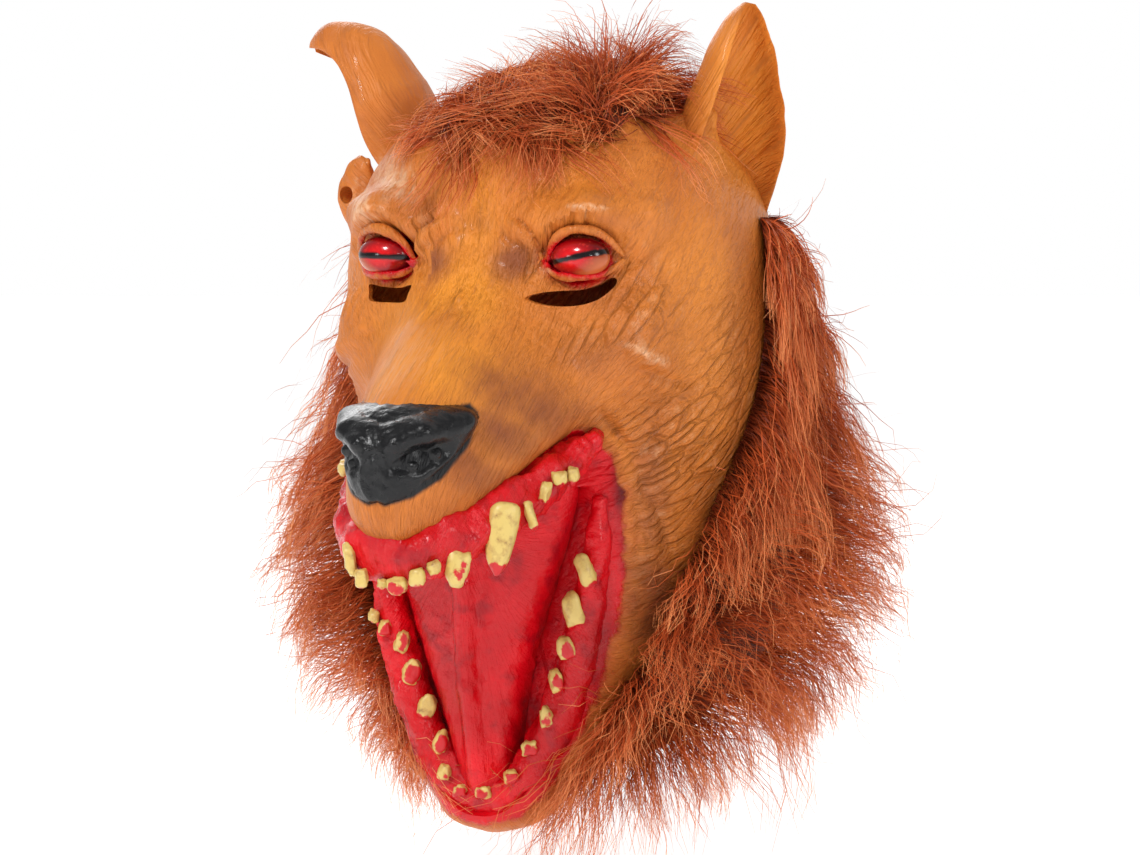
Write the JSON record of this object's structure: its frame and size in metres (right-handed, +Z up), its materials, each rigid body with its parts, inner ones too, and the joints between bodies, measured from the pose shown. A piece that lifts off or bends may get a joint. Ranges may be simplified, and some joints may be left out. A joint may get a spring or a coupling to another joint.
{
  "type": "wolf mask",
  "caption": "Pull-over rubber wolf mask with an open red mouth, glossy red eyes, one upright and one bent ear, and long auburn fur on its crown, sides and neck.",
  "frame": {"origin": "inside of the crown on the middle line, where the mask rests on the wearer's head", "axes": "+Z up the worn mask, the snout points to -Y, +X is the side of the upright ear"},
  "size_m": [0.2939, 0.3083, 0.3683],
  "materials": {
    "latex_mask": "semi-gloss painted latex, tan orange with a red mouth and a black nose",
    "eye_right": "glossy red with a black band",
    "eye_left": "glossy red with a black band",
    "crown_fur": "long reddish brown fake fur",
    "mane_fur": "long auburn fake fur"
  },
  "bodies": {
    "root": {"latex_mask": "latex_mask", "eye_right": "eye_right", "eye_left": "eye_left", "crown_fur": "crown_fur", "mane_fur": "mane_fur"}
  },
  "joints": []
}
